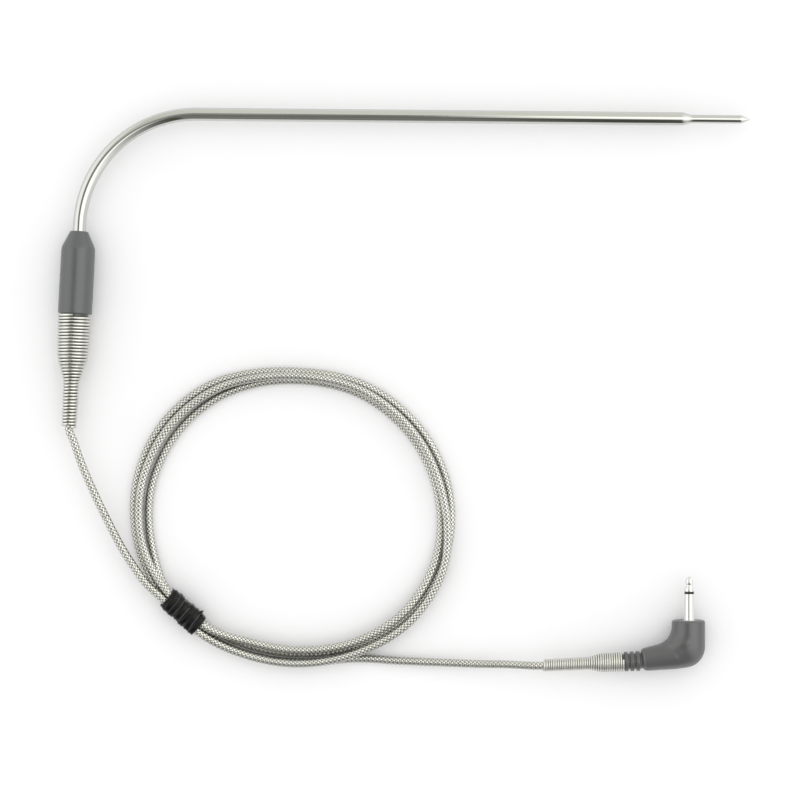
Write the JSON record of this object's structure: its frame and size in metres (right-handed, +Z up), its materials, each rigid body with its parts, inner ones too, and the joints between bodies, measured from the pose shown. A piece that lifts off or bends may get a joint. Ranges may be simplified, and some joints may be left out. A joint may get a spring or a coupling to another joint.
{
  "type": "plug-in meat thermometer probe",
  "caption": "Bent stainless food probe with rubber grip, spring relief, coiled braided steel lead, wound tie and right-angle jack plug.",
  "frame": {"origin": "on the jack pin's axis where the pin leaves the plug's shoulder", "axes": "+Y along the jack pin, out of the plug; +Z up from the plane the object lies on; +X from the grip end towards the probe's point"},
  "size_m": [0.1731, 0.1411, 0.0085],
  "materials": {
    "tube_steel": "polished",
    "spring_steel": "bright drawn wire",
    "braid_steel": "woven fine steel wire",
    "ferrule_steel": "crimped, satin",
    "grip_rubber": "matte moulded",
    "housing_rubber": "satin moulded",
    "wire_insulation": "smooth",
    "tie_plastic": "glossy",
    "tie_core": "annealed wire",
    "jack_plating": "bright nickel",
    "jack_black": "satin",
    "jack_white": "smooth",
    "washer_fibre": "pressed fibre",
    "core_plastic": "moulded",
    "contact_brass": "stamped",
    "solder": "bright solder",
    "bead_glass": "glass-like coat",
    "heat_fill": "cured paste",
    "amber_sleeve": "thin film",
    "lead_wire": "tinned",
    "splice_film": "shrunk sleeve",
    "seal_silicone": "cured silicone"
  },
  "bodies": {
    "plug": {"cable_braid_plug_end": "braid_steel", "cable_wires_plug_end": "wire_insulation", "plug_spring": "spring_steel", "plug_ferrule": "ferrule_steel", "plug_housing": "housing_rubber", "plug_core": "core_plastic", "jack_sleeve": "jack_plating", "jack_insulator_ring": "jack_black", "jack_inner_insulator": "jack_white", "jack_washer": "washer_fibre", "jack_tip": "jack_plating", "tip_tag": "contact_brass", "solder_joints": "solder"},
    "plug_lead": {"cable_braid_plug_lead": "braid_steel", "cable_wires_plug_lead": "wire_insulation"},
    "coil": {"cable_braid_coil": "braid_steel", "cable_wires_coil": "wire_insulation"},
    "tie": {"tie_ribbon": "tie_plastic", "tie_wire": "tie_core"},
    "probe_lead": {"cable_braid_probe_lead": "braid_steel", "cable_wires_probe_lead": "wire_insulation"},
    "probe": {"probe_tube": "tube_steel", "probe_point": "tube_steel", "thermistor_bead": "bead_glass", "heat_filler": "heat_fill", "bead_sleeve": "amber_sleeve", "thermistor_leads": "lead_wire", "splice_crimps": "contact_brass", "splice_sleeves": "splice_film", "tube_seal": "seal_silicone", "braid_ferrule": "ferrule_steel", "grip": "grip_rubber", "grip_spring": "spring_steel", "cable_braid_probe_end": "braid_steel", "cable_wires_probe_end": "wire_insulation"}
  },
  "joints": [
    {"name": "plug_lead_swing", "type": "hinge", "parent": "plug", "child": "plug_lead", "pos_m": [-0.04593, -0.01115, -0.0008], "axis": [0, 0, 1], "range_deg": [-45, 45]},
    {"name": "coil_swing", "type": "hinge", "parent": "plug_lead", "child": "coil", "pos_m": [-0.07343, -0.0104, -0.00285], "axis": [0, 0, 1], "range_deg": [-30, 40]},
    {"name": "tie_slide", "type": "slide", "parent": "coil", "child": "tie", "axis": [0.7373, -0.6756, 0], "range_m": [-0.0006, 0.0006]},
    {"name": "probe_lift", "type": "hinge", "parent": "coil", "child": "probe_lead", "pos_m": [-0.1385, 0.0127, -0.00062], "axis": [0.8167, 0.577, 0], "range_deg": [0, 50]},
    {"name": "probe_swing", "type": "hinge", "parent": "probe_lead", "child": "probe", "pos_m": [-0.15223, 0.0399, 0.00002], "axis": [0, 0, 1], "range_deg": [-30, 45]}
  ]
}
